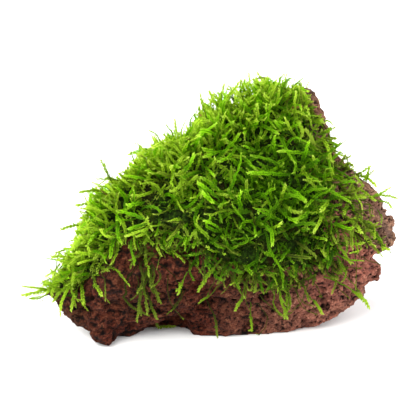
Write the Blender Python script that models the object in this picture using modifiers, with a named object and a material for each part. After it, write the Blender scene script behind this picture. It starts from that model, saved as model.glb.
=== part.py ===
"""Java moss growing on a loose piece of red lava stone.

Two pieces: the stone, which rests on its flat underside, and the moss cushion that covers its sloping upper
side and hangs over its front. Sizes are in millimetres here and become metres where a mesh is made. +X is to
the right as seen from the front, +Y goes to the back and +Z is up. At the end both pieces are moved together,
so that the origin is on the resting plane at the middle of their overall length and depth.
"""

import math

import bmesh
import bpy
import numpy as np
from mathutils import Matrix, Vector, noise
from mathutils.bvhtree import BVHTree

MM = 0.001

# Driving dimensions of the stone
TOE_X = -54.5
SHOULDER_X = 61.5
PEAK_X = 31.0
PEAK_Y = 20.0
PEAK_Z = 73.0
FRONT_Y = -24.0
BACK_Y = 36.0
STAND_Z = 0.0

# Meshing of the stone
FORM_VOXEL = 1.2
FORM_SMOOTHING = 5
FORM_SWELL = 1.2
STONE_VOXEL = 0.9
STONE_TRIANGLES = 6400
STONE_SEED = 11
PIT_COUNT = 260
PIT_RADIUS = (1.4, 3.1)
PIT_SPACING = 3.7
CRAG_LIMIT = 0.3
CRAG_SOFTNESS = 0.7

# The moss
MOSS_GAP = 1.1
INNER_TRIANGLES = 700
MOSS_DEPTH = 5.6
MOSS_VOXEL = 0.9
OUTER_TRIANGLES = 3000
SHOOT_SEED = 23
SHOOT_COUNT = 190
SHOOT_RADIUS = 2.3
SHOOT_TAPER = 0.6
SHOOT_SPACING = 3.9
SHOOT_LENGTH = (6.0, 9.5)
SHOOT_POINTS = 6
FLOOR_CLEARANCE = 1.0

# The lower edge of the moss on the stone's front, as heights at places along X
FRONT_EDGE_X = (-54, -48, -40, -35, -29, -20, -10, -3, 3, 16, 28, 40, 52)
FRONT_EDGE_Z = (13, 15, 20, 24, 29, 30, 30, 28, 24, 20, 19, 25, 32)

# The crest of the stone, from its left toe over the peak to its right shoulder
CREST_X = (-54, -46, -40, -34, -29, -20, -10, 0, 10, 20, 28, 32, 36, 40, 47, 53, 58, 62)
CREST_Z = (12, 17, 24, 34, 42, 50, 56, 62, 67, 70, 71, 71, 64, 55, 47, 40, 34, 28)

# The dense moss ends on the right at these places, given against height
RIGHT_EDGE_Z = (0, 16, 26, 36, 46, 56, 66, 74)
RIGHT_EDGE_X = (42, 49, 53, 50, 45, 38, 32, 29)
BACK_REACH = 13.0


def clear_scene():
    for thing in list(bpy.data.objects):
        bpy.data.objects.remove(thing, do_unlink=True)


def collection(name):
    made = bpy.data.collections.new(name)
    bpy.context.scene.collection.children.link(made)
    return made


def material(name, colour, roughness):
    made = bpy.data.materials.new(name)
    made.use_nodes = True
    shader = made.node_tree.nodes["Principled BSDF"]
    shader.inputs["Base Color"].default_value = (*colour, 1.0)
    shader.inputs["Roughness"].default_value = roughness
    shader.inputs["Metallic"].default_value = 0.0
    return made


def add_object(name, mesh, where):
    made = bpy.data.objects.new(name, mesh)
    where.objects.link(made)
    return made


def helper(name, mesh, where):
    made = add_object(name, mesh, where)
    made.hide_render = True
    made.display_type = "WIRE"
    return made


def evaluated(thing):
    """The object's mesh with its modifiers applied, as a new mesh."""
    graph = bpy.context.evaluated_depsgraph_get()
    return bpy.data.meshes.new_from_object(thing.evaluated_get(graph), depsgraph=graph)


def remeshed(mesh, voxel, smoothing, where):
    """The mesh's union as an even grid of faces, with its edges rounded by so many passes."""
    guide = helper("guide_remesh", mesh, where)
    remesh = guide.modifiers.new("Remesh", "REMESH")
    remesh.mode = "VOXEL"
    remesh.voxel_size = voxel * MM
    if smoothing:
        smooth = guide.modifiers.new("Smooth", "SMOOTH")
        smooth.factor = 0.5
        smooth.iterations = smoothing
    made = evaluated(guide)
    bpy.data.objects.remove(guide, do_unlink=True)
    return made


def decimated(mesh, triangles, where):
    guide = helper("guide_decimate", mesh, where)
    mesh.calc_loop_triangles()
    reduce = guide.modifiers.new("Decimate", "DECIMATE")
    reduce.ratio = min(1.0, triangles / len(mesh.loop_triangles))
    reduce.use_collapse_triangulate = True
    made = evaluated(guide)
    bpy.data.objects.remove(guide, do_unlink=True)
    return made


def combined(mesh, other, operation, where):
    """The mesh after an exact Boolean with the other one."""
    guide = helper("guide_target", mesh, where)
    cutter = helper("guide_cutter", other, where)
    boolean = guide.modifiers.new("Boolean", "BOOLEAN")
    boolean.operation = operation
    boolean.object = cutter
    boolean.use_self = False
    made = evaluated(guide)
    bpy.data.objects.remove(guide, do_unlink=True)
    bpy.data.objects.remove(cutter, do_unlink=True)
    return made


def joined(meshes):
    """Several meshes in one, not yet fused."""
    whole = bmesh.new()
    for mesh in meshes:
        whole.from_mesh(mesh)
    made = bpy.data.meshes.new("joined")
    whole.to_mesh(made)
    whole.free()
    return made


def largest_body(mesh):
    """The mesh as triangles, without the loose crumbs that a cut leaves."""
    whole = bmesh.new()
    whole.from_mesh(mesh)
    bmesh.ops.triangulate(whole, faces=whole.faces)
    bmesh.ops.remove_doubles(whole, verts=whole.verts, dist=0.02 * MM)
    left = set(whole.verts)
    bodies = []
    while left:
        body, front = set(), [left.pop()]
        while front:
            vert = front.pop()
            body.add(vert)
            for edge in vert.link_edges:
                other = edge.other_vert(vert)
                if other in left:
                    left.remove(other)
                    front.append(other)
        bodies.append(body)
    keep = max(bodies, key=len)
    bmesh.ops.delete(whole, geom=[v for v in whole.verts if v not in keep], context="VERTS")
    made = bpy.data.meshes.new("body")
    whole.to_mesh(made)
    whole.free()
    return made


def hull(corners):
    """The convex block through these corners."""
    block = bmesh.new()
    for corner in corners:
        block.verts.new(Vector(corner) * MM)
    found = bmesh.ops.convex_hull(block, input=block.verts)
    inner = {g for g in found["geom_interior"] + found["geom_unused"] if isinstance(g, bmesh.types.BMVert)}
    bmesh.ops.delete(block, geom=list(inner), context="VERTS")
    bmesh.ops.recalc_face_normals(block, faces=block.faces)
    made = bpy.data.meshes.new("block")
    block.to_mesh(made)
    block.free()
    return made


def ellipsoid(centre, radii):
    ball = bmesh.new()
    bmesh.ops.create_icosphere(ball, subdivisions=3, radius=1.0)
    bmesh.ops.scale(ball, vec=Vector(radii) * MM, verts=ball.verts)
    bmesh.ops.translate(ball, vec=Vector(centre) * MM, verts=ball.verts)
    made = bpy.data.meshes.new("ellipsoid")
    ball.to_mesh(made)
    ball.free()
    return made


def box(low, high):
    block = bmesh.new()
    bmesh.ops.create_cube(block, size=1.0)
    size = Vector(high) - Vector(low)
    bmesh.ops.scale(block, vec=size * MM, verts=block.verts)
    bmesh.ops.translate(block, vec=(Vector(low) + size / 2) * MM, verts=block.verts)
    made = bpy.data.meshes.new("box")
    block.to_mesh(made)
    block.free()
    return made


def points_and_normals(mesh):
    """The mesh's vertices in millimetres, and its vertex normals."""
    count = len(mesh.vertices)
    points = np.empty(count * 3, np.float32)
    normals = np.empty(count * 3, np.float32)
    mesh.vertices.foreach_get("co", points)
    mesh.vertex_normals.foreach_get("vector", normals)
    return points.reshape(-1, 3).astype(float) / MM, normals.reshape(-1, 3).astype(float)


def move_points(mesh, points):
    mesh.vertices.foreach_set("co", (points * MM).astype(np.float32).ravel())
    mesh.update()


def ramp(value, start, end):
    """0 before start, 1 after end, and smooth in between."""
    share = np.clip((value - start) / (end - start), 0.0, 1.0)
    return share * share * (3 - 2 * share)


def noise_at(points, size, offset):
    """Smooth noise from -1 to 1 at each point, with lumps about as large as size on each axis."""
    scaled = points / np.asarray(size, float) + offset
    return np.array([noise.noise(Vector(p)) for p in scaled])


def stone_blocks():
    """The main masses of the stone, each a convex block. The fused blocks keep the clefts between them."""
    main_wedge = [
        (-28, -14, -3), (-5, -13, -3), (2, -13, -3), (20, -13, -3), (27, -11, -2), (34, -8, 2),
        (42, -8, 6), (-42, -18, 13), (-34, -23, 19), (-20, -22, 24), (0, -20, 24), (18, -18, 20), (34, -14, 18),
        (44, -8, 22), (-40, 2, 22), (-34, 5, 31), (-28, 8, 39), (-19, 11, 47), (-10, 13, 53), (0, 15, 59),
        (10, 17, 64), (20, 19, 68), (29, 19, 69), (34, 19, 65), (39, 17, 54),
        (-38, 14, 2), (-22, 28, -3), (5, BACK_Y, -3), (28, 34, -3), (41, 24, -2), (44, 10, 4),
        (-30, 18, 26), (-14, 26, 38), (8, 30, 48), (24, 31, 54), (34, 28, 48), (43, 20, 34),
    ]
    toe = [
        (TOE_X, -7, 11), (-53, -5, 13), (-51, -11, 10), (-47, -2, 17), (-47, -14, 6), (-44, -13, 17), (-40, 2, 23),
        (-42, -17, 4), (-37, -21, 1), (-34, FRONT_Y, 0), (-33, -21, 20), (-31, 6, 28), (-30, 8, 4), (-42, 6, 8),
        (-31, -22, 0), (-26, -19, 12),
    ]
    peak = [
        (24, 16, 60), (PEAK_X - 4, 18, 71), (PEAK_X + 1, PEAK_Y, PEAK_Z), (PEAK_X + 3, 19, 70), (35, 16, 65),
        (37, 19, 58), (34, 26, 62), (24, 25, 62), (20, 20, 68), (31, 13, 56), (40, 17, 52), (28, 28, 54),
    ]
    shoulder = [
        (SHOULDER_X, 3, 27), (SHOULDER_X - 1, 6, 30.5), (59, 8, 32.5), (58, 9, 34.5), (53, 11, 40), (46.5, 14, 47),
        (42, 16, 51), (39, 17, 55), (60, -1, 25), (53, -8, 25), (46, -11, 29), (36, -8, 33), (57, 11, 27),
        (47, 21, 33), (34, 20, 30), (38, -12, 23), (48, 2, 22), (56, 2, 24),
    ]
    heel = [
        (55.5, -4, 16.5), (55, -3, 19), (53, -5, 14), (50.5, -6, 11), (47.5, -7, 9.5), (42.5, -9, 5.5), (34, -11, 1.5),
        (50, -9, 20), (44, -12, 18), (34, -14, 17), (50, 5, 19), (47, 12, 9), (30, -9, 0), (34, 8, 0),
        (28, -14, 12), (46, -9, 22), (36, 14, 18),
    ]
    return [hull(corners) for corners in (main_wedge, toe, peak, shoulder, heel)]


def front_arch():
    """The hollow under the front edge. It climbs slowly from the left foot and drops in one step on its right."""
    return hull([
        (-36, -32, -4), (-35.5, -32, 1.5), (-32, -32, 4.6), (-20, -32, 7.6), (-12, -32, 10.4), (-8, -32, 12.0),
        (-3.0, -32, 11.4), (-1.0, -32, 6.5), (-1.0, -32, -4),
        (-27, -10, -4), (-18, -9, 4.0), (-10, -9, 7.0), (-6, -9, -4),
    ])


def stone_form(where):
    """The stone's rounded overall form, with no pits: the blocks fused, the arch between the front feet and the
    scoops in its flanks taken out."""
    form = remeshed(joined(stone_blocks()), FORM_VOXEL, 0, where)
    hollows = [
        ellipsoid((66, -3, 22.4), (9, 9, 1.6)),
        ellipsoid((48, 28, 50), (10, 11, 8)),
        ellipsoid((-47, 23, 26), (14, 12, 14)),
        front_arch(),
    ]
    for hollow in hollows:
        form = combined(form, hollow, "DIFFERENCE", where)
    form = remeshed(form, FORM_VOXEL, FORM_SMOOTHING, where)
    points, normals = points_and_normals(form)
    move_points(form, points + normals * FORM_SWELL)
    return form


def pit_centres(points, normals):
    """Centres, inward directions and radii of the larger gas pits, spread over the surface."""
    rng = np.random.default_rng(STONE_SEED)
    centres, inward, radii = [], [], []
    for index in rng.permutation(len(points)):
        if len(centres) == PIT_COUNT:
            break
        point = points[index]
        if point[2] < 3.0 or (centres and np.linalg.norm(np.array(centres) - point, axis=1).min() < PIT_SPACING):
            continue
        centres.append(point)
        inward.append(-normals[index])
        radii.append(rng.uniform(*PIT_RADIUS))
    return np.array(centres), np.array(inward), np.array(radii)


def weathered(points, normals):
    """The form's points after breakage and gas pits. Nothing rises more than CRAG_LIMIT above the form."""
    lift = 2.2 * noise_at(points, (19, 19, 13), 3.7)
    lift += 1.5 * noise_at(points, (8, 8, 5.5), 8.1)
    lift += 0.5 * noise_at(points, (3.4, 3.4, 2.8), 1.3)
    creases = np.abs(noise_at(points, (22, 22, 5.5), 5.5))
    on_front = 0.4 + 0.6 * ramp(-normals[:, 1], 0.3, 0.8)
    lift -= 1.8 * on_front * (1 - ramp(creases, 0.0, 0.16))
    lift = CRAG_LIMIT - CRAG_SOFTNESS * np.log1p(np.exp((CRAG_LIMIT - lift) / CRAG_SOFTNESS))
    moved = points + normals * lift[:, None]
    for centre, inward, radius in zip(*pit_centres(points, normals)):
        away = np.linalg.norm(points - centre, axis=1)
        near = away < radius
        depth = 0.85 * radius * np.sqrt(1 - (away[near] / radius) ** 2)
        moved[near] += inward * depth[:, None]
    return moved


def make_stone(form, where):
    mesh = remeshed(form.copy(), STONE_VOXEL, 0, where)
    points, normals = points_and_normals(mesh)
    move_points(mesh, weathered(points, normals))
    mesh = decimated(mesh, STONE_TRIANGLES, where)
    ground = box((-100, -100, -40), (100, 100, STAND_Z))
    return largest_body(combined(mesh, ground, "DIFFERENCE", where))


def moss_cover(points, normals):
    """How much of the full moss depth grows at each point of the stone, from 0 on bare stone to 1."""
    x, y, z = points.T
    crest = np.interp(x, CREST_X, CREST_Z)
    above_front_edge = ramp(z - np.interp(x, FRONT_EDGE_X, FRONT_EDGE_Z), -1.5, 3.0)
    left_of_right_edge = ramp(np.interp(z, RIGHT_EDGE_Z, RIGHT_EDGE_X) - x, -1.5, 3.0)
    at_the_back = ramp(normals[:, 1], 0.05, 0.35)
    near_crest = ramp(z - (crest - BACK_REACH), -2.0, 2.0)
    right_of_toe = ramp(x - TOE_X, 2.0, 7.0)
    return above_front_edge * left_of_right_edge * (1 - at_the_back * (1 - near_crest)) * right_of_toe


def moss_depth(points, normals):
    """Depth of the moss above the stone at each point, in millimetres. Below 0 it is inside the stone."""
    swell = 1 + 0.25 * noise_at(points, (15, 15, 15), 2.2) + 0.22 * noise_at(points, (5, 5, 5), 9.4)
    thinner_right = 1 - 0.5 * ramp(points[:, 0], 22, 42)
    thinner_toe = 1 - 0.75 * (1 - ramp(points[:, 0], -50, -34))
    cover = moss_cover(points, normals)
    return -3.0 + cover * (3.0 + MOSS_DEPTH * swell * thinner_right * thinner_toe)


def growth_direction(point, normal):
    """The way a shoot first grows: out from the stone, more upright on the crest, leftward on the left flank."""
    crest = np.interp(point[0], CREST_X, CREST_Z)
    upright = ramp(point[2] - (crest - 16), 0.0, 12.0)
    leftward = 1 - ramp(point[0], -40.0, -5.0)
    way = np.array(normal) * 1.0 + np.array((-0.35 * leftward, -0.1, 0.75 * upright - 0.1))
    return way / np.linalg.norm(way)


def shoot_paths(points, normals):
    """Centre lines of the longer shoots, each a list of points from inside the cushion to its tip."""
    rng = np.random.default_rng(SHOOT_SEED)
    cover = moss_cover(points, normals)
    grows = np.flatnonzero(cover > 0.35)
    paths, taken = [], []
    for index in rng.permutation(grows):
        if len(paths) == SHOOT_COUNT:
            break
        point, normal = points[index], normals[index]
        if taken and np.linalg.norm(np.array(taken) - point, axis=1).min() < SHOOT_SPACING:
            continue
        taken.append(point)
        way = growth_direction(point, normal) + rng.normal(0, 0.33, 3)
        way /= np.linalg.norm(way)
        front_edge = np.interp(point[0], FRONT_EDGE_X, FRONT_EDGE_Z)
        droop = 0.12 + 0.5 * (1 - ramp(point[2] - front_edge, 0.0, 9.0)) * (normal[1] < 0.1)
        length = rng.uniform(*SHOOT_LENGTH) * (0.75 + 0.25 * cover[index])
        step = length / (SHOOT_POINTS - 1)
        place = point + normal * (MOSS_DEPTH * cover[index] * 0.35)
        path = [place]
        for _ in range(SHOOT_POINTS - 1):
            way = way + np.array((0, 0, -droop)) + rng.normal(0, 0.08, 3)
            way /= np.linalg.norm(way)
            place = place + way * step
            path.append(place)
        paths.append(np.array(path))
    return paths


def trailing_paths():
    """Centre lines of the long strands that leave the cushion, placed one by one along its edge."""
    return [
        [(-46, -8, 17), (-51, -9, 16), (-56, -10, 14), (-60.5, -11, 13.5)],
        [(-42, -2, 24), (-46, -3, 23.5), (-50, -4, 23)],
        [(-44, -20, 19), (-44.5, -22, 15), (-45, -23, 11)],
        [(-33, -22, 26), (-34, -26, 20), (-32, -27, 15), (-30, -27, 12)],
        [(-25, -22, 28), (-25, -26, 21), (-24, -27, 14), (-23, -26, 9)],
        [(-18, -23, 28), (-17, -26, 20), (-16, -26, 13), (-14, -24, 7), (-11.5, -23, 4)],
        [(-4, -20, 29), (-2, -24, 22), (-1, -24, 17)],
        [(8, -19, 24), (9, -22, 18), (10, -22.5, 12)],
        [(14, -18, 22), (15, -21, 16), (16, -21.5, 9), (16.5, -21, 5)],
        [(23, -18, 21), (24, -20.5, 15), (24.5, -20.5, 10)],
        [(31, -16, 21), (33, -19, 17), (35, -19, 13)],
        [(42, -13, 24), (45, -16, 20), (49, -16.5, 15), (52, -16.5, 10)],
        [(50, -8, 33), (54, -10, 31), (57, -11, 28)],
        [(48, 9, 44), (54, 8, 41), (60.5, 7, 38)],
        [(45, 13, 49), (49, 12, 49), (52, 11, 48)],
        [(37, 16, 56), (41, 15, 56), (44, 14, 55)],
        [(33, 17, 66), (37, 16, 67), (40, 15, 68)],
        [(0, 13, 66), (-2, 12, 70), (-3, 12, 74)],
    ]


def held_off(paths, form):
    """The paths with each point moved out to where a shoot of full width lies on the stone, not in it."""
    whole = bmesh.new()
    whole.from_mesh(form)
    tree = BVHTree.FromBMesh(whole)
    whole.free()
    reach = MOSS_GAP + 0.6 * SHOOT_RADIUS
    moved = []
    for path in paths:
        places = []
        for place in path:
            near, normal, _, _ = tree.find_nearest(Vector(place) * MM)
            height = (Vector(place) * MM - near).dot(normal) / MM
            if height < reach:
                place = (near / MM) + normal * reach
            places.append((place[0], place[1], max(place[2], FLOOR_CLEARANCE + SHOOT_RADIUS)))
        moved.append(places)
    return moved


def shoot_mesh(paths, where):
    """Every path as a tapering stem, in one mesh of closed tubes."""
    curve = bpy.data.curves.new("shoots", "CURVE")
    curve.dimensions = "3D"
    curve.bevel_depth = SHOOT_RADIUS * MM
    curve.bevel_resolution = 1
    curve.use_fill_caps = True
    for path in paths:
        spline = curve.splines.new("POLY")
        spline.points.add(len(path) - 1)
        for share, (target, place) in zip(np.linspace(0, 1, len(path)), zip(spline.points, path)):
            target.co = (place[0] * MM, place[1] * MM, place[2] * MM, 1.0)
            target.radius = 1.0 - SHOOT_TAPER * share
    guide = helper("guide_shoots", curve, where)
    mesh = evaluated(guide)
    bpy.data.objects.remove(guide, do_unlink=True)
    whole = bmesh.new()
    whole.from_mesh(mesh)
    bmesh.ops.remove_doubles(whole, verts=whole.verts, dist=0.001 * MM)
    whole.to_mesh(mesh)
    whole.free()
    return mesh


def make_moss(form, where):
    mat = form.copy()
    points, normals = points_and_normals(mat)
    move_points(mat, points + normals * moss_depth(points, normals)[:, None])
    shoots = shoot_mesh(held_off(shoot_paths(points, normals) + trailing_paths(), form), where)
    cushion = decimated(remeshed(joined([mat, shoots]), MOSS_VOXEL, 0, where), OUTER_TRIANGLES, where)
    envelope = form.copy()
    move_points(envelope, points + normals * MOSS_GAP)
    envelope = decimated(remeshed(envelope, MOSS_VOXEL, 0, where), INNER_TRIANGLES, where)
    return largest_body(combined(cushion, envelope, "DIFFERENCE", where))


def centre_footprint(meshes):
    """Move the meshes together so that the middle of their overall length and depth is at the origin."""
    corners = np.vstack([points_and_normals(mesh)[0] for mesh in meshes])
    middle = (corners.min(axis=0) + corners.max(axis=0)) / 2
    shift = Vector((-middle[0] * MM, -middle[1] * MM, 0.0))
    for mesh in meshes:
        mesh.transform(Matrix.Translation(shift))
        mesh.update()


def smooth_shaded(mesh, crease_degrees):
    mesh.shade_smooth()
    mesh.set_sharp_from_angle(angle=math.radians(crease_degrees))


def main():
    clear_scene()
    helpers = collection("helpers")
    parts = collection("java_moss_on_stone")
    form = stone_form(helpers)

    stone_mesh = make_stone(form, helpers)
    moss_mesh = make_moss(form, helpers)
    centre_footprint([stone_mesh, moss_mesh])

    smooth_shaded(stone_mesh, 40)
    stone = add_object("lava_stone", stone_mesh, parts)
    stone.data.materials.append(material("red_lava", (0.085, 0.028, 0.016), 0.85))

    smooth_shaded(moss_mesh, 60)
    moss = add_object("moss_cushion", moss_mesh, parts)
    moss.data.materials.append(material("java_moss", (0.12, 0.24, 0.015), 0.55))


main()
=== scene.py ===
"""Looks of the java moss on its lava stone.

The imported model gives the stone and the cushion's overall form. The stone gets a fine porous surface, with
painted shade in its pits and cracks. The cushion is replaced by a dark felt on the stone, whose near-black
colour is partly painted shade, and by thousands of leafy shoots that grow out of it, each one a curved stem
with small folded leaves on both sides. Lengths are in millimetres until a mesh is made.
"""

import math
from collections import namedtuple

import bmesh
import bpy
import numpy as np
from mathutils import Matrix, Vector, noise
from mathutils.bvhtree import BVHTree
from mathutils.kdtree import KDTree

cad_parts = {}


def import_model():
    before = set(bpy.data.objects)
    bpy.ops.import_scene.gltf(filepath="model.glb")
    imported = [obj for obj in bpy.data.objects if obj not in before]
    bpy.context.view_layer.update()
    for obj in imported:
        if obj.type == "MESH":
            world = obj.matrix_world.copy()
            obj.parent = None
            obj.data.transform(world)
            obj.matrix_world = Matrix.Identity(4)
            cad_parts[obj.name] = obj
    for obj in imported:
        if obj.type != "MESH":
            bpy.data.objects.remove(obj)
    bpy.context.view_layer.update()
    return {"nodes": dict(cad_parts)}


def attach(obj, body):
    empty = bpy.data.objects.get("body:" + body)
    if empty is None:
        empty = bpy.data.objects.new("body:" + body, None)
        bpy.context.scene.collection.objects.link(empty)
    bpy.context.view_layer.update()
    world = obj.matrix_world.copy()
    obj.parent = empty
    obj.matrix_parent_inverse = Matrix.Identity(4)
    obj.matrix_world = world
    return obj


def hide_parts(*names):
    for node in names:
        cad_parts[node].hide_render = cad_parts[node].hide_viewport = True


MM = 0.001

# The photograph's view. PICTURE is the photograph's width and height in pixels
PICTURE = 420.0
VIEW_ELEVATION = 22.0
VIEW_LENS = 90.0
SENSOR = 36.0
VIEW_WIDTH = 134.4
VIEW_CENTRE = (-0.5, -4.65, 37.2)

# The stone's surface. Pits are given as their count, and their smallest and largest radius
STONE_VOXEL = 0.555
PIT_SEED = 5
PIT_FLATNESS = 1.5
SMALL_PITS = (11000, 0.34, 0.8)
MIDDLE_PITS = (700, 0.9, 1.5)

# The stone's crest and the lower edge of its dense moss, as heights at places along X
CREST_X = (-54, -46, -40, -34, -29, -20, -10, 0, 10, 20, 28, 32, 36, 40, 47, 53, 58, 62)
CREST_Z = (12, 17, 24, 34, 42, 50, 56, 62, 67, 70, 71, 71, 64, 55, 47, 40, 34, 28)
EDGE_X = (-54, -48, -40, -35, -29, -20, -10, -3, 3, 16, 28, 40, 52)
EDGE_Z = (13, 15, 20, 24, 32, 36, 36, 33, 29, 25.5, 25, 31, 36)

# The moss's upper edge in the photograph, in its pixels
OUTLINE_X = (
    30, 44, 56, 68, 80, 92, 104, 116, 128, 140, 164, 176, 188, 198,
    208, 216, 224, 240, 262, 284, 308, 318, 332, 345, 357, 371, 382, 394,
)
OUTLINE_Y = (
    294, 280, 272, 252, 220, 191, 182, 179, 168, 148, 138, 134, 131, 115,
    94, 88, 86, 79, 75, 82, 88, 112, 128, 151, 168, 172, 190, 212,
)

# The line in the photograph that the fringe of hanging shoots starts from, in its pixels
FRINGE_X = (84, 100, 120, 150, 180, 200, 220, 260, 300, 335, 365)
FRINGE_Y = (278, 268, 250, 245, 246, 252, 264, 276, 278, 262, 244)

# Growth of the moss
MOSS_SEED = 31
ROOT_REACH = 6.5
CLEAR_OF_STONE = 0.35
GROWTH_STEP = 0.9
FRINGE_COUNT = 78
UNDER_SPACING = 1.25
MIDDLE_SPACING = 1.9
UPPER_SPACING = 2.6
CREST_SPACING = 1.7
RIDGE_SPACING = 2.5
TRAILING_SPACING = 2.4
LEAF_LENGTH = 0.95
LEAF_WIDTH = 0.5
LEAF_STEP = 0.21
LEAF_ANGLE = 0.66
STEM_RADIUS = 0.24
STRAND_WIDTH = 1.02
STRAND_POINTS = 14
STRAND_CLEARANCE = 0.5
STRAND_HEIGHTS = (1.2, 77.2)
LOWEST_LEAF = 0.4
FELT_DEPTH = 3.5

# The space that grown shoots end at, as its middle and its reach on each axis
LIMIT_CENTRE = np.array((0.0, 0.0, 38.4))
LIMIT_REACH = np.array((62.6, 33.0, 38.4))

# The moss's palettes, as bands of its colour map. Each has its colours from root to tip, at COLOUR_STOPS, in
# painted deep shade and then in painted full light
COLOUR_STOPS = (0.0, 0.4, 0.8, 1.0)
OLIVE, GREEN, LIGHT, BROWN = range(4)
MOSS_COLOURS = (
    (
        ((20, 18, 6), (38, 46, 8), (66, 84, 12), (96, 122, 20)),
        ((70, 72, 20), (108, 132, 30), (148, 176, 50), (186, 206, 84)),
    ),
    (
        ((10, 22, 1), (26, 57, 1), (47, 96, 2), (78, 134, 6)),
        ((78, 132, 4), (112, 180, 6), (152, 213, 20), (204, 238, 80)),
    ),
    (
        ((20, 34, 2), (46, 76, 4), (82, 122, 9), (120, 160, 22)),
        ((112, 150, 18), (158, 202, 38), (190, 224, 62), (208, 232, 100)),
    ),
    (
        ((30, 18, 8), (52, 34, 14), (84, 56, 24), (120, 84, 38)),
        ((96, 70, 34), (134, 98, 50), (176, 136, 78), (214, 182, 120)),
    ),
)
PALETTES = len(MOSS_COLOURS)

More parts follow.
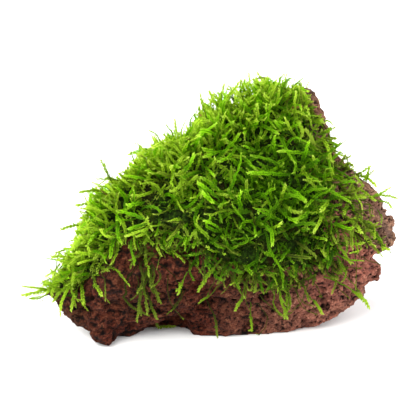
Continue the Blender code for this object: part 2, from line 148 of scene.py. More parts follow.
# Strands that stand clear of the cushion in the photograph, at its edges and over the stone. Each has its
# palette, its lightness, its width, the share of its stem that is bare, and its pixels from root to tip
STONE_STRANDS = {
    "toe_low": (LIGHT, 0.6, 1.26, 0.2, (72, 285), (52, 288), (36, 293), (23, 295)),
    "toe_high": (LIGHT, 0.6, 1.15, 0.2, (83, 273), (62, 275), (44, 281)),
    "toe_front": (LIGHT, 0.6, 1.15, 0.3, (87, 280), (70, 287), (59, 298)),
    "toe_drop": (LIGHT, 0.6, 1.03, 0.3, (81, 284), (77, 298), (74, 311)),
    "toe_drop_right": (LIGHT, 0.6, 1.15, 0.3, (83, 279), (86, 292), (89, 302)),
    "flank_low": (LIGHT, 0.6, 1.32, 0.2, (92, 257), (70, 256), (52, 257)),
    "flank_low_top": (LIGHT, 0.6, 1.03, 0.3, (84, 246), (68, 248), (56, 253)),
    "flank_middle": (LIGHT, 0.6, 1.15, 0.2, (92, 223), (75, 225), (61, 229)),
    "flank_upper": (LIGHT, 0.6, 1.15, 0.2, (98, 202), (88, 203), (77, 206)),
    "flank_lip": (LIGHT, 0.6, 1.15, 0.2, (104, 192), (92, 190), (80, 192)),
    "flank_top": (LIGHT, 0.6, 1.15, 0.2, (122, 181), (109, 178), (95, 179)),
    "flank_spike": (LIGHT, 0.6, 1.15, 0.2, (113, 184), (107, 172), (101, 160)),
    "left_spike": (LIGHT, 0.6, 1.03, 0.2, (138, 168), (134, 160), (131, 151)),
    "crest_spike": (LIGHT, 0.6, 1.03, 0.2, (207, 118), (203, 106), (200, 94)),
    "front_hook": (LIGHT, 0.7, 1.1, 0.3, (94, 274), (99, 285), (105, 293)),
    "front_thin": (OLIVE, 0.75, 0.6, 0.5, (103, 271), (106, 284), (107, 295)),
    "front_bend": (LIGHT, 0.65, 1.0, 0.2, (119, 243), (119, 256), (115, 268)),
    "front_elbow": (LIGHT, 0.7, 1.1, 0.2, (108, 268), (117, 272), (126, 287)),
    "front_comb": (LIGHT, 0.56, 1.0, 0.2, (146, 247), (147, 260), (149, 273)),
    "tuft_left": (OLIVE, 0.55, 0.95, 0.2, (143, 272), (140, 294), (135, 316)),
    "tuft_middle": (OLIVE, 0.5, 1.1, 0.2, (141, 262), (144, 286), (148, 306)),
    "tuft_right": (OLIVE, 0.4, 0.95, 0.3, (144, 284), (151, 304), (157, 317)),
    "tuft_side": (OLIVE, 0.45, 1.0, 0.3, (150, 266), (151, 282), (154, 296)),
    "tuft_tail": (OLIVE, 0.45, 0.9, 0.2, (147, 308), (159, 326), (174, 339)),
    "strap_wide": (LIGHT, 0.52, 1.2, 0.2, (163, 246), (173, 256), (181, 265)),
    "strap_short": (LIGHT, 0.56, 1.0, 0.3, (187, 272), (181, 281), (173, 290)),
    "loop_thin": (OLIVE, 0.45, 0.5, 0.9, (168, 275), (167, 290), (170, 302), (179, 312)),
    "loop_back": (OLIVE, 0.55, 0.6, 0.6, (186, 290), (178, 300), (170, 304)),
    "club_left": (LIGHT, 0.56, 1.3, 0.3, (222, 258), (209, 273), (197, 282)),
    "stem_left": (LIGHT, 0.38, 0.8, 0.7, (223, 275), (214, 291), (195, 297)),
    "club_middle": (LIGHT, 0.56, 1.1, 0.3, (247, 266), (239, 277), (229, 284)),
    "fork_left": (LIGHT, 0.45, 1.0, 0.5, (245, 280), (241, 295), (234, 303)),
    "tail_left": (OLIVE, 0.4, 0.9, 0.4, (207, 298), (214, 314), (218, 331)),
    "tail_middle": (LIGHT, 0.52, 0.8, 0.3, (250, 302), (250, 316), (249, 329)),
    "tuft_bright": (LIGHT, 0.6, 1.1, 0.1, (277, 276), (280, 296), (284, 316)),
    "tuft_bright_side": (LIGHT, 0.45, 0.95, 0.2, (284, 278), (287, 296), (285, 312)),
    "arc_low": (OLIVE, 0.75, 0.5, 0.85, (258, 294), (269, 303), (281, 312)),
    "arc_right": (OLIVE, 0.75, 0.5, 0.85, (309, 281), (300, 300), (287, 311)),
    "arc_dark": (OLIVE, 0.35, 0.5, 0.9, (255, 302), (267, 313), (266, 324), (256, 331)),
    "strap_right": (LIGHT, 0.52, 1.0, 0.4, (306, 293), (313, 301), (318, 310)),
    "strap_down": (LIGHT, 0.52, 1.2, 0.2, (280, 247), (288, 261), (295, 277)),
    "y_upper": (OLIVE, 0.75, 0.7, 0.6, (341, 264), (349, 280), (357, 293)),
    "y_lower": (LIGHT, 0.64, 1.2, 0.55, (322, 277), (341, 284), (357, 294), (369, 307)),
    "right_drop": (LIGHT, 0.7, 1.1, 0.2, (366, 226), (374, 238), (381, 249)),
    "right_slope": (LIGHT, 0.45, 0.9, 0.3, (328, 228), (338, 243), (349, 257)),
    "right_tip": (LIGHT, 0.65, 0.9, 0.3, (358, 202), (374, 196), (386, 195), (397, 198)),
    "ridge_low_tip": (LIGHT, 0.7, 0.9, 0.3, (350, 176), (361, 173), (371, 166)),
    "ridge_tip": (LIGHT, 0.65, 0.8, 0.3, (326, 150), (336, 147), (346, 140)),
    "ridge_high_tip": (LIGHT, 0.45, 0.8, 0.3, (318, 137), (325, 132), (334, 128)),
    "chevron_upper": (OLIVE, 0.85, 0.9, 0.2, (344, 193), (352, 197), (360, 199)),
    "chevron_lower": (LIGHT, 0.6, 0.9, 0.2, (344, 201), (352, 202), (360, 200)),
    "stripe_left": (OLIVE, 0.8, 0.85, 0.2, (325, 225), (332, 233), (337, 242)),
    "stripe_right": (OLIVE, 0.8, 0.85, 0.2, (339, 228), (344, 237), (348, 246)),
    "dark_strap": (GREEN, 0.2, 1.2, 0.1, (352, 213), (361, 222), (368, 232), (374, 243)),
    "dark_bar": (OLIVE, 0.4, 1.0, 0.1, (343, 208), (355, 212), (366, 213)),
    "olive_drop": (LIGHT, 0.5, 0.9, 0.2, (361, 220), (366, 231), (370, 243)),
    "pale_bar": (LIGHT, 0.55, 1.0, 0.1, (334, 226), (343, 225), (355, 222)),
    "yellow_knob": (LIGHT, 0.85, 1.0, 0.1, (316, 244), (320, 248), (324, 251)),
    "far_tip_upper": (LIGHT, 0.8, 1.0, 0.1, (370, 198), (380, 194), (390, 188)),
    "far_tip_lower": (LIGHT, 0.8, 0.8, 0.2, (374, 200), (383, 203), (392, 208)),
    "far_upright": (LIGHT, 0.7, 0.8, 0.2, (365, 183), (368, 175), (369, 166)),
    "far_bunch": (LIGHT, 0.8, 1.2, 0.1, (357, 176), (365, 182), (376, 186)),
    "far_slope": (LIGHT, 0.65, 1.0, 0.1, (352, 187), (362, 192), (370, 202)),
    "far_drop": (LIGHT, 0.5, 0.8, 0.3, (376, 211), (379, 218), (381, 226)),
    "ridge_bunch": (LIGHT, 0.7, 1.0, 0.1, (340, 170), (346, 165), (354, 159)),
}

# Shoots that stand out on the cushion in the photograph, in the same form
MOSS_STRANDS = {
    "centre_fork": (GREEN, 0.8, 1.2, 0.1, (229, 194), (233, 182), (237, 172), (242, 163), (241, 154)),
    "centre_fork_left": (GREEN, 0.75, 1.0, 0.1, (242, 163), (235, 159), (228, 159)),
    "centre_fork_right": (GREEN, 0.65, 0.9, 0.1, (241, 156), (250, 163), (255, 169)),
    "centre_bar": (GREEN, 0.8, 1.05, 0.1, (295, 173), (283, 175), (272, 173), (261, 173), (248, 173)),
    "centre_spike": (GREEN, 0.85, 1.1, 0.1, (243, 213), (240, 204), (238, 198), (241, 192)),
    "centre_comb": (GREEN, 0.85, 1.0, 0.1, (220, 200), (211, 192), (205, 187), (198, 183)),
    "centre_comb_low": (GREEN, 0.8, 1.2, 0.1, (222, 206), (213, 202), (207, 198), (203, 193)),
    "centre_bud": (LIGHT, 0.7, 1.0, 0.1, (220, 211), (222, 205), (229, 202)),
    "centre_strap": (GREEN, 0.75, 1.0, 0.1, (282, 221), (272, 217), (264, 213), (254, 208)),
    "centre_stem": (GREEN, 0.45, 0.65, 0.3, (271, 229), (262, 235), (252, 238), (242, 238), (232, 240)),
    "centre_knot": (GREEN, 0.65, 1.2, 0.1, (280, 207), (286, 216), (292, 220), (297, 222)),
    "bud_right": (LIGHT, 0.85, 1.3, 0.1, (271, 230), (276, 227), (281, 224)),
    "left_spear": (GREEN, 0.75, 1.25, 0.1, (178, 178), (185, 170), (190, 164), (194, 155)),
    "left_fork": (LIGHT, 0.55, 0.95, 0.1, (201, 193), (192, 187), (186, 181), (179, 177)),
    "left_fork_twig": (LIGHT, 0.6, 0.9, 0.1, (189, 186), (193, 180), (197, 176)),
    "left_arm": (GREEN, 0.8, 1.2, 0.1, (145, 220), (135, 215), (127, 213), (118, 212)),
    "left_bar": (GREEN, 0.8, 1.15, 0.1, (145, 202), (136, 204), (128, 205)),
    "left_bar_low": (GREEN, 0.65, 0.95, 0.1, (147, 224), (138, 226), (129, 229)),
    "left_arc": (LIGHT, 0.6, 1.15, 0.1, (165, 200), (160, 190), (155, 184), (147, 182)),
    "left_upright": (LIGHT, 0.65, 0.9, 0.1, (169, 180), (168, 170), (166, 159)),
    "pale_curl": (LIGHT, 0.75, 0.95, 0.1, (153, 222), (147, 229), (137, 232), (126, 236)),
    "pale_curl_twig": (LIGHT, 0.7, 0.85, 0.1, (149, 228), (144, 234), (137, 236)),
    "low_curl": (LIGHT, 0.65, 0.85, 0.1, (211, 240), (204, 233), (198, 227), (196, 222), (198, 216)),
    "low_curl_twig": (LIGHT, 0.6, 0.75, 0.1, (199, 228), (194, 232), (191, 237)),
    "low_wave": (GREEN, 0.8, 0.85, 0.1, (223, 233), (216, 226), (210, 222), (204, 221)),
    "low_hook": (OLIVE, 0.75, 0.85, 0.1, (181, 220), (179, 227), (175, 233), (168, 239)),
    "low_hook_pale": (LIGHT, 0.75, 0.8, 0.1, (183, 220), (175, 219), (169, 221)),
    "low_club": (LIGHT, 0.6, 1.0, 0.1, (219, 252), (211, 251), (207, 247)),
    "low_curve": (OLIVE, 0.65, 0.75, 0.1, (216, 243), (226, 247), (233, 253)),
    "top_blade": (GREEN, 0.6, 1.3, 0.1, (253, 119), (248, 109), (241, 101)),
    "top_twig_left": (GREEN, 0.7, 0.75, 0.1, (250, 129), (245, 127), (238, 124)),
    "top_twig_right": (GREEN, 0.7, 0.75, 0.1, (248, 130), (253, 126), (259, 122)),
    "top_hook": (GREEN, 0.4, 0.85, 0.0, (281, 104), (281, 92), (284, 83), (291, 76)),
    "top_thin": (LIGHT, 0.6, 0.6, 0.4, (281, 96), (281, 86), (279, 79), (284, 74)),
    "ridge_upright": (LIGHT, 0.7, 0.85, 0.1, (293, 120), (295, 110), (295, 101), (296, 92)),
    "ridge_spear": (LIGHT, 0.75, 0.85, 0.1, (297, 139), (290, 129), (285, 118)),
    "ridge_slant": (GREEN, 0.7, 0.9, 0.1, (286, 132), (280, 127), (275, 121)),
    "fan_upper": (LIGHT, 0.8, 0.95, 0.1, (301, 119), (309, 108), (321, 98)),
    "fan_middle": (LIGHT, 0.75, 1.25, 0.1, (303, 115), (314, 119), (324, 122)),
    "fan_lower": (LIGHT, 0.6, 0.8, 0.1, (308, 105), (313, 113), (320, 119)),
    "high_upright": (GREEN, 0.85, 1.15, 0.1, (303, 161), (306, 152), (309, 142)),
    "high_bar": (GREEN, 0.7, 1.0, 0.1, (320, 153), (305, 153), (292, 152), (279, 151)),
    "high_cross": (GREEN, 0.75, 0.95, 0.1, (257, 151), (250, 148), (243, 146)),
    "middle_upright": (GREEN, 0.75, 0.95, 0.1, (276, 158), (274, 147), (275, 136)),
    "right_arc": (LIGHT, 0.7, 1.0, 0.1, (303, 168), (306, 176), (312, 180), (320, 181)),
    "right_spear": (LIGHT, 0.65, 0.85, 0.1, (318, 173), (316, 164), (313, 156)),
    "right_fork_left": (LIGHT, 0.65, 1.0, 0.1, (280, 205), (282, 195), (286, 185)),
    "right_fork_right": (GREEN, 0.8, 0.95, 0.1, (285, 185), (291, 189), (299, 194), (306, 201)),
    "right_thin": (GREEN, 0.65, 0.7, 0.1, (306, 195), (316, 197), (325, 193), (331, 188)),
    "right_long": (LIGHT, 0.7, 0.9, 0.1, (327, 202), (323, 212), (320, 221), (314, 232)),
    "right_nub": (LIGHT, 0.85, 1.2, 0.1, (329, 200), (325, 206), (321, 210)),
    "right_bent": (LIGHT, 0.6, 0.65, 0.2, (308, 208), (302, 214), (296, 221)),
}

# Tufts that hang in the photograph. Each has its palette, its lightness, its count of shoots, and the pixels
# of its root, of its tips' middle and of their spread
HANGING_TUFTS = {
    "left_tuft": (OLIVE, 0.34, 7, (141, 260), (145, 302), 12),
    "left_tuft_back": (OLIVE, 0.2, 5, (150, 262), (154, 298), 11),
    "bright_tuft": (LIGHT, 0.4, 4, (278, 276), (283, 308), 7),
    "middle_tuft": (OLIVE, 0.7, 5, (246, 272), (238, 296), 10),
    "right_tuft": (OLIVE, 0.5, 5, (330, 262), (340, 284), 12),
}


def unit(vectors):
    vectors = np.asarray(vectors, float)
    length = np.linalg.norm(vectors, axis=-1, keepdims=True)
    return vectors / np.maximum(length, 1e-9)


def ramp(value, start, end):
    """0 before start, 1 after end, and smooth in between."""
    share = np.clip((value - start) / (end - start), 0.0, 1.0)
    return share * share * (3 - 2 * share)


def noise_at(points, size, offset):
    """Smooth noise from -1 to 1 at each point, with lumps about as large as size on each axis."""
    scaled = points / np.asarray(size, float) + offset
    return np.array([noise.noise(Vector(p)) for p in scaled])


def arrays_of(mesh):
    """The mesh's vertices in millimetres, and its vertex normals."""
    count = len(mesh.vertices)
    points = np.empty(count * 3, np.float32)
    normals = np.empty(count * 3, np.float32)
    mesh.vertices.foreach_get("co", points)
    mesh.vertex_normals.foreach_get("vector", normals)
    return points.reshape(-1, 3).astype(float) / MM, normals.reshape(-1, 3).astype(float)


def triangles_of(mesh):
    mesh.calc_loop_triangles()
    corners = np.empty(len(mesh.loop_triangles) * 3, np.int32)
    mesh.loop_triangles.foreach_get("vertices", corners)
    return corners.reshape(-1, 3)


def line_at(places, knots, points):
    """Points at these places along a line, which passes its own points at its knots."""
    return np.stack([np.interp(places, knots, points[:, axis]) for axis in range(3)], axis=1)


def tree_of(points, triangles):
    return BVHTree.FromPolygons([tuple(p) for p in points], [tuple(t) for t in triangles])


def mesh_of(name, points, faces):
    """A smooth mesh from points in millimetres and an array of faces with equally many corners."""
    faces = np.asarray(faces, np.int32)
    sides = faces.shape[1]
    mesh = bpy.data.meshes.new(name)
    mesh.vertices.add(len(points))
    mesh.vertices.foreach_set("co", (np.asarray(points) * MM).astype(np.float32).ravel())
    mesh.loops.add(faces.size)
    mesh.loops.foreach_set("vertex_index", faces.ravel())
    mesh.polygons.add(len(faces))
    mesh.polygons.foreach_set("loop_start", np.arange(0, faces.size, sides, dtype=np.int32))
    mesh.update(calc_edges=True)
    mesh.validate()
    mesh.shade_smooth()
    return mesh


def add_piece(name, mesh, material, slot, *nodes):
    """A shown piece of the object that stands for these CAD nodes."""
    piece = bpy.data.objects.new(name, mesh)
    bpy.context.scene.collection.objects.link(piece)
    mesh.materials.clear()
    mesh.materials.append(material)
    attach(piece, "root")
    if nodes:
        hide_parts(*nodes)
    return piece


class Nodes:
    """Short calls for building a material's node tree."""

    def __init__(self, name):
        self.material = bpy.data.materials.new(name)
        self.material.use_nodes = True
        self.tree = self.material.node_tree
        self.tree.nodes.clear()
        self.output = self.tree.nodes.new("ShaderNodeOutputMaterial")

    def add(self, kind, links=None, **settings):
        node = self.tree.nodes.new("ShaderNode" + kind)
        for key, value in settings.items():
            setattr(node, key, value)
        for socket, value in (links or {}).items():
            self.set(node, socket, value)
        return node

    def set(self, node, socket, value):
        if isinstance(value, bpy.types.NodeSocket):
            self.tree.links.new(value, node.inputs[socket])
        else:
            node.inputs[socket].default_value = value

    def noise(self, vector, scale, detail=3.0, roughness=0.55):
        links = {"Vector": vector, "Scale": scale, "Detail": detail, "Roughness": roughness}
        return self.add("TexNoise", links).outputs["Fac"]

    def colours(self, factor, *stops):
        """A colour ramp through (place, colour) stops, with the colours as sRGB numbers up to 255."""
        node = self.add("ValToRGB", {"Fac": factor})
        elements = node.color_ramp.elements
        while len(elements) < len(stops):
            elements.new(0.5)
        for element, (place, colour) in zip(elements, stops):
            element.position = place
            element.color = linear(colour)
        return node.outputs["Color"]

    def levels(self, factor, low, high):
        """The factor stretched so that low becomes 0 and high becomes 1."""
        node = self.add("MapRange", {"Value": factor, "From Min": low, "From Max": high})
        node.clamp = True
        return node.outputs["Result"]

    def times(self, first, second):
        return self.add("Math", {0: first, 1: second}, operation="MULTIPLY").outputs[0]

    def mix(self, factor, first, second, blend="MIX"):
        node = self.add("Mix", data_type="RGBA", blend_type=blend)
        self.set(node, 0, factor)
        self.set(node, 6, first)
        self.set(node, 7, second)
        return node.outputs[2]

    def bump(self, height, strength, distance):
        links = {"Height": height, "Strength": strength, "Distance": distance}
        return self.add("Bump", links).outputs["Normal"]


def linear(colour):
    """An sRGB colour of numbers up to 255 as scene-linear RGBA."""
    parts = [c / 255 for c in colour]
    return tuple(c / 12.92 if c <= 0.04045 else ((c + 0.055) / 1.055) ** 2.4 for c in parts) + (1.0,)


def lava_material():
    n = Nodes("porous_red_lava")
    place = n.add("NewGeometry").outputs["Position"]
    hollow_shade = n.add("Attribute", attribute_name="hollow_shade").outputs["Fac"]
    grime = n.add("Attribute", attribute_name="grime").outputs["Fac"]
    broad = n.noise(place, 60.0, 3.0)
    grain = n.noise(place, 480.0, 5.0, 0.72)
    fine = n.noise(place, 1700.0, 4.0, 0.8)
    mixed = n.add("Math", {0: grain, 1: fine}, operation="ADD").outputs[0]
    tone = n.levels(mixed, 0.68, 1.36)
    red = n.colours(
        tone,
        (0.0, (46, 17, 10)), (0.35, (114, 53, 36)), (0.65, (170, 96, 73)), (1.0, (255, 196, 170)),
    )
    tan = n.colours(
        tone,
        (0.0, (33, 21, 13)), (0.35, (104, 74, 51)), (0.65, (168, 132, 99)), (1.0, (244, 210, 170)),
    )
    dark = n.colours(
        n.levels(fine, 0.3, 0.7),
        (0.0, (14, 13, 9)), (0.5, (40, 36, 26)), (1.0, (84, 78, 56)),
    )
    rock = n.mix(n.levels(broad, 0.42, 0.62), red, n.mix(0.3, red, tan))
    rock = n.mix(n.levels(grime, 0.2, 0.9), rock, tan)
    patches = n.times(n.levels(n.noise(place, 150.0, 4.0), 0.52, 0.64), grime)
    rock = n.mix(patches, rock, dark)
    # Small pores: a dip in the bump, and painted shade that darkens them to near black
    pores = n.add("TexVoronoi", {"Vector": place, "Scale": 1300.0}, feature="F1").outputs["Distance"]
    pore = n.times(n.levels(pores, 0.36, 0.16), n.levels(grain, 0.6, 0.42))
    rock = n.mix(pore, rock, linear((22, 11, 8)))
    pale = n.add("Attribute", attribute_name="pale").outputs["Fac"]
    # Painted shade and light: pale multiplies the stone darker towards its left and leaves its right lighter,
    # then tints the right pinker
    shade = n.mix(pale, linear((152, 134, 122)), linear((255, 252, 250)))
    rock = n.mix(1.0, rock, shade, "MULTIPLY")
    rock = n.mix(n.times(pale, 0.2), rock, linear((186, 134, 124)))
    # Painted shade: near black in the pits, cracks, sunken places and painted craters
    rock = n.mix(n.levels(hollow_shade, 0.15, 0.95), rock, linear((19, 10, 7)))
    height = n.add("Math", {0: mixed, 1: pore}, operation="SUBTRACT").outputs[0]
    shader = n.add("BsdfPrincipled", {
        "Base Color": rock,
        "Roughness": n.levels(grain, -0.6, 0.9),
        "Specular IOR Level": 0.12,
        "Normal": n.bump(height, 1.0, 0.0009),
    })
    n.set(n.output, "Surface", shader.outputs["BSDF"])
    return n.material


def moss_material():
    """Leaves coloured by a map. Each palette has a band across it, which goes from painted deep shade to
    painted full light. Up the map the colours go from a shoot's root to its tip."""
    n = Nodes("java_moss_leaves")
    at = n.add("UVMap", uv_map="OFBake").outputs["UV"]
    parts = n.add("SeparateXYZ", {"Vector": at}).outputs
    across = n.times(parts["X"], float(PALETTES))
    light = n.add("Math", {0: across}, operation="FRACT").outputs[0]
    colour = None
    for band, (deep, bright) in enumerate(MOSS_COLOURS):
        shaded, lit = (n.colours(parts["Y"], *zip(COLOUR_STOPS, colours)) for colours in (deep, bright))
        own = n.mix(light, shaded, lit)
        if band:
            past = n.add("Math", {0: across, 1: float(band)}, operation="GREATER_THAN").outputs[0]
            own = n.mix(past, colour, own)
        colour = own
    gleam = n.noise(n.add("NewGeometry").outputs["Position"], 900.0, 2.0)
    leaf = n.add("BsdfPrincipled", {
        "Base Color": colour,
        "Roughness": n.levels(gleam, -0.7, 1.4),
        "Specular IOR Level": 0.09,
    })
    glow = n.add("BsdfTranslucent", {"Color": n.mix(1.0, colour, (1.0, 1.0, 0.55, 1.0), "MULTIPLY")})
    both = n.add("MixShader", {0: 0.36, 1: leaf.outputs["BSDF"], 2: glow.outputs["BSDF"]})
    n.set(n.output, "Surface", both.outputs["Shader"])
    return n.material


def felt_and_shade_material():
    # Real old stems, coloured near black as painted shade deep in the cushion
    n = Nodes("moss_felt_and_painted_shade")
    place = n.add("NewGeometry").outputs["Position"]
    strands = n.noise(place, 900.0, 4.0, 0.7)
    patches = n.noise(place, 160.0, 3.0)
    green = n.colours(
        n.levels(strands, 0.3, 0.7),
        (0.0, (6, 10, 1)), (0.5, (18, 32, 3)), (1.0, (44, 70, 8)),
    )
    brown = n.colours(n.levels(strands, 0.3, 0.7), (0.0, (12, 9, 3)), (1.0, (44, 36, 12)))
    shader = n.add("BsdfPrincipled", {
        "Base Color": n.mix(n.levels(patches, 0.5, 0.7), green, brown),
        "Roughness": n.levels(patches, -2.5, 0.9),
        "Specular IOR Level": 0.05,
        "Normal": n.bump(strands, 0.8, 0.0006),
    })
    n.set(n.output, "Surface", shader.outputs["BSDF"])
    return n.material


def remeshed(mesh, voxel):
    """The mesh as an even grid of faces."""
    guide = bpy.data.objects.new("guide", mesh)
    bpy.context.scene.collection.objects.link(guide)
    remesh = guide.modifiers.new("Remesh", "REMESH")
    remesh.mode = "VOXEL"
    remesh.voxel_size = voxel * MM
    graph = bpy.context.evaluated_depsgraph_get()
    made = bpy.data.meshes.new_from_object(guide.evaluated_get(graph), depsgraph=graph)
    bpy.data.objects.remove(guide, do_unlink=True)
    return made


def pit_depths(points, counts, rng):
    """How deep each point lies in a gas pit, and how far down its pit it is from 0 at the rim to 1."""
    stretched = points * (1.0, 1.0, PIT_FLATNESS)
    tree = KDTree(len(points))
    for index, point in enumerate(stretched):
        tree.insert(point, index)
    tree.balance()
    ragged = 1 + 0.6 * noise_at(points, (0.9, 0.9, 0.9), 4.4)
    depth = np.zeros(len(points))
    share = np.zeros(len(points))
    for count, smallest, largest in counts:
        for index in rng.choice(len(points), count, replace=False):
            radius = smallest + (largest - smallest) * rng.random() ** 2
            for _, near, away in tree.find_range(stretched[index], radius):
                inside = 1 - (away * ragged[near] / radius) ** 2
                if inside > 0:
                    depth[near] = max(depth[near], 0.9 * radius * math.sqrt(inside))
                    share[near] = max(share[near], inside)
    return depth, share


def stone_surface(node):
    """The stone's porous surface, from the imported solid."""
    mesh = remeshed(node.data.copy(), STONE_VOXEL)
    points, normals = arrays_of(mesh)
    rng = np.random.default_rng(PIT_SEED)
    lift = 0.35 * noise_at(points, (5.0, 5.0, 3.0), 2.2)
    lift += 0.3 * noise_at(points, (2.2, 2.2, 1.3), 6.1)
    lift += 0.34 * noise_at(points, (1.0, 1.0, 0.75), 1.7)
    seams = np.abs(noise_at(points, (13.0, 13.0, 2.4), 7.7))
    seam = (1 - ramp(seams, 0.0, 0.12)) * ramp(noise_at(points, (9, 9, 9), 3.0), -0.25, 0.25)
    lift -= 0.9 * seam
    depth, share = pit_depths(points, (SMALL_PITS, MIDDLE_PITS), rng)
    resting = 1 - ramp(points[:, 2], 0.3, 1.6)
    moved = points + normals * ((lift - depth) * (1 - resting))[:, None]
    moved[:, 2] = np.maximum(moved[:, 2], 0.0)
    mesh.vertices.foreach_set("co", (moved * MM).astype(np.float32).ravel())
    # Painted shade: the stone is coloured near black in its pits, its cracks and its sunken places, and in
    # patches on the left that stand for craters with no dip in the surface
    crater_shade = ramp(noise_at(points, (3.4, 3.4, 2.4), 4.4), 0.3, 0.5) * (1 - ramp(points[:, 0], -32, 0))
    hollow_shade = np.clip(share + 0.7 * seam + 0.6 * ramp(-lift, 0.25, 0.9) + 0.75 * crater_shade, 0, 1)
    left = 1 - ramp(points[:, 0] + 0.6 * points[:, 2], -44, -18)
    upper_right = ramp(points[:, 0] + 0.9 * points[:, 2], 68, 84)
    patchy = 0.5 + 0.7 * noise_at(points, (9, 9, 7), 5.0)
    grime = np.clip(np.maximum(left * 0.6, upper_right) * (0.55 + patchy * 0.6), 0, 1)
    # pale runs from 0 on the left to 1 on the right, for painted shade on the stone's left, painted light on
    # its right, and a pinker tint on the right
    pale = ramp(points[:, 0] - 0.2 * points[:, 2], -8, 46)
    for name, values in (("hollow_shade", hollow_shade), ("grime", grime), ("pale", pale)):
        mesh.attributes.new(name, "FLOAT", "POINT").data.foreach_set("value", values.astype(np.float32))
    mesh.update()
    mesh.shade_smooth()
    return mesh


def below_edge(points, normals):
    """Whether each point is on the stone's front below the edge of the dense moss."""
    low = points[..., 2] < np.interp(points[..., 0], EDGE_X, EDGE_Z) - 1.5
    return low & (normals[..., 1] < 0.3)


class Bed:
    """The stone's surface that the moss grows on, with the cushion's form above it."""

    def __init__(self, solid, stone, cushion):
        self.points, _ = arrays_of(stone)
        self.faces = triangles_of(stone)
        self.tree = tree_of(self.points, self.faces)
        smooth = remeshed(solid.copy(), 1.5)
        points, _ = arrays_of(smooth)
        self.plain = tree_of(points, triangles_of(smooth))
        self.smoothed = np.array([self.smooth_normal(p) for p in self.points])
        points, _ = arrays_of(cushion)
        self.cushion = tree_of(points, triangles_of(cushion))

    def depth_above(self, point, normal):
        """Depth of the cushion over a point of the stone, or 0 where there is none."""
        start = Vector(point)
        way = Vector(normal)
        first = self.cushion.ray_cast(start, way, ROOT_REACH)
        if first[0] is None:
            return 0.0
        last = self.cushion.ray_cast(first[0] + way * 0.05, way, 30.0)
        return 0.0 if last[0] is None else (last[0] - start).length

    def roots(self, spacing, rng):
        """Places on the stone under the cushion, about spacing apart: points, normals and cushion depths.
        None is below the moss's edge on the front."""
        corners = self.points[self.faces]
        areas = np.linalg.norm(np.cross(corners[:, 1] - corners[:, 0], corners[:, 2] - corners[:, 0]), axis=1)
        tries = int(areas.sum() / 2 / spacing**2 * 2.2)
        chosen = rng.choice(len(areas), tries, p=areas / areas.sum())
        shares = np.sort(rng.random((tries, 2)), axis=1)
        shares = np.diff(np.column_stack([np.zeros(tries), shares, np.ones(tries)]), axis=1)
        centres = (corners[chosen] * shares[:, :, None]).sum(axis=1)
        taken = set()
        found = []
        for centre in centres:
            cell = tuple((centre // spacing).astype(int))
            if cell in taken:
                continue
            normal = self.smooth_normal(centre)
            depth = self.depth_above(centre, normal)
            if depth > 0.5 and not below_edge(centre, normal):
                taken.add(cell)
                found.append((centre, normal, depth))
        return [np.array(part) for part in zip(*found)]

    def smooth_normal(self, point):
        """The surface's direction at a point, with its pits evened out."""
        _, normal, _, _ = self.plain.find_nearest(Vector(point))
        return np.array(normal)

    def sight(self, pixel, surface, depth):
        """What the photograph shows at a pixel: the nearest place of a surface or None, the way that the
        camera looks, and the place that has the given Y."""
        tilt = math.radians(VIEW_ELEVATION)
        back = np.array((0.0, -math.cos(tilt), math.sin(tilt)))
        eye = np.array(VIEW_CENTRE) + back * VIEW_WIDTH * VIEW_LENS / SENSOR
        aside, above = (np.array(pixel) / PICTURE - 0.5) * SENSOR / VIEW_LENS
        way = np.array((0.0, math.cos(tilt), -math.sin(tilt))) + np.array((1.0, 0.0, 0.0)) * aside
        way = unit(way - np.array((0.0, math.sin(tilt), math.cos(tilt))) * above)
        near, _, _, _ = surface.ray_cast(Vector(eye), Vector(way))
        return near, way, eye + way * (depth - eye[1]) / way[1]

    def over_stone(self, pixel, share, depth):
        """The place for a strand at a pixel, further off the stone as its share of the strand grows."""
        near, _, beside = self.sight(pixel, self.tree, depth)
        if near is None:
            return beside
        return np.array(near) + self.smooth_normal(near) * (0.7 + 1.8 * share)

    def over_moss(self, pixel, share, depth):
        """The place for a strand at a pixel, from within the cushion at its root to off it at its tip."""
        near, way, beside = self.sight(pixel, self.cushion, depth)
        if near is None:
            return beside
        return np.array(near) - way * (-1.5 + 5.0 * ramp(share, 0.0, 0.7))

    def overtops(self, place, slack):
        """Whether the photograph would show a place more than slack millimetres over the moss's edge."""
        tilt = math.radians(VIEW_ELEVATION)
        x, y, z = place - np.array(VIEW_CENTRE)
        away = VIEW_WIDTH * VIEW_LENS / SENSOR + y * math.cos(tilt) - z * math.sin(tilt)
        size = PICTURE * VIEW_LENS / SENSOR / away
        row = PICTURE / 2 - (y * math.sin(tilt) + z * math.cos(tilt)) * size
        return row < np.interp(PICTURE / 2 + x * size, OUTLINE_X, OUTLINE_Y) - slack * size

    def gap_outside(self, place):
        """How far a place is outside the cushion's form, below 0 inside it, and the way out of it."""
        near, normal, _, away = self.cushion.find_nearest(Vector(place))
        outside = (Vector(place) - near).dot(normal) > 0
        return (away if outside else -away), np.array(normal)

    def held_off(self, place, clearance):
        """The place, moved out of the stone if it is in it or too near."""
        near, normal, _, _ = self.tree.find_nearest(Vector(place))
        gap = Vector(place) - near
        if gap.dot(normal) < clearance:
            place = np.array(near) + np.array(normal) * clearance
        return place


def regions(points):
    """How far each point is on the moss's left flank, its crest, its lower front edge and its thin right."""
    x, y, z = points.T
    crest = np.interp(x, CREST_X, CREST_Z)
    edge = np.interp(x, EDGE_X, EDGE_Z)
    left = 1 - ramp(x, -44, -6)
    top = ramp(z - crest, -16, -3)
    low = (1 - ramp(z - edge, 1, 13)) * (y < 6)
    right = ramp(x + 0.35 * (z - 45), 28, 41)
    return left, top, low, right


